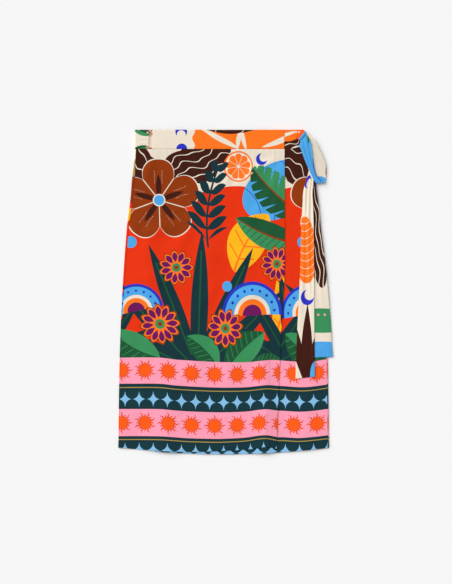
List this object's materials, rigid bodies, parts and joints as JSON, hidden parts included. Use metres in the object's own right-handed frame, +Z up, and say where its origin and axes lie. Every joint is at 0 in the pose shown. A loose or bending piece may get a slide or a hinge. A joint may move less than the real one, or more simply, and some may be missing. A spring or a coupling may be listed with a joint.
{
  "type": "wrap skirt",
  "caption": "Midi wrap skirt laid flat, with overlapping fronts, a shaped waistband and a long tie knotted in a bow at the side, in a bold border print.",
  "frame": {"origin": "on the flat underside of the back panel, where the skirt's centre line crosses the middle of its length", "axes": "+Z up, out of the front of the skirt, which lies on its back; +Y along the skirt towards its waist; +X across it, towards the side with the bow"},
  "size_m": [0.4723, 0.7141, 0.0152],
  "materials": {
    "panel_cloth": "matt printed crepe",
    "band_cloth": "matt printed crepe over interfacing",
    "tie_cloth": "matt printed crepe, softly creased"
  },
  "bodies": {
    "root": {"back_panel": "panel_cloth", "front_over": "panel_cloth", "front_under": "panel_cloth", "band_back": "band_cloth", "band_over": "band_cloth", "band_under": "band_cloth", "tie_wrap": "tie_cloth", "tie_over": "tie_cloth", "knot": "tie_cloth", "bow_loop": "tie_cloth", "tail_front": "tie_cloth", "tail_back": "tie_cloth"}
  },
  "joints": []
}
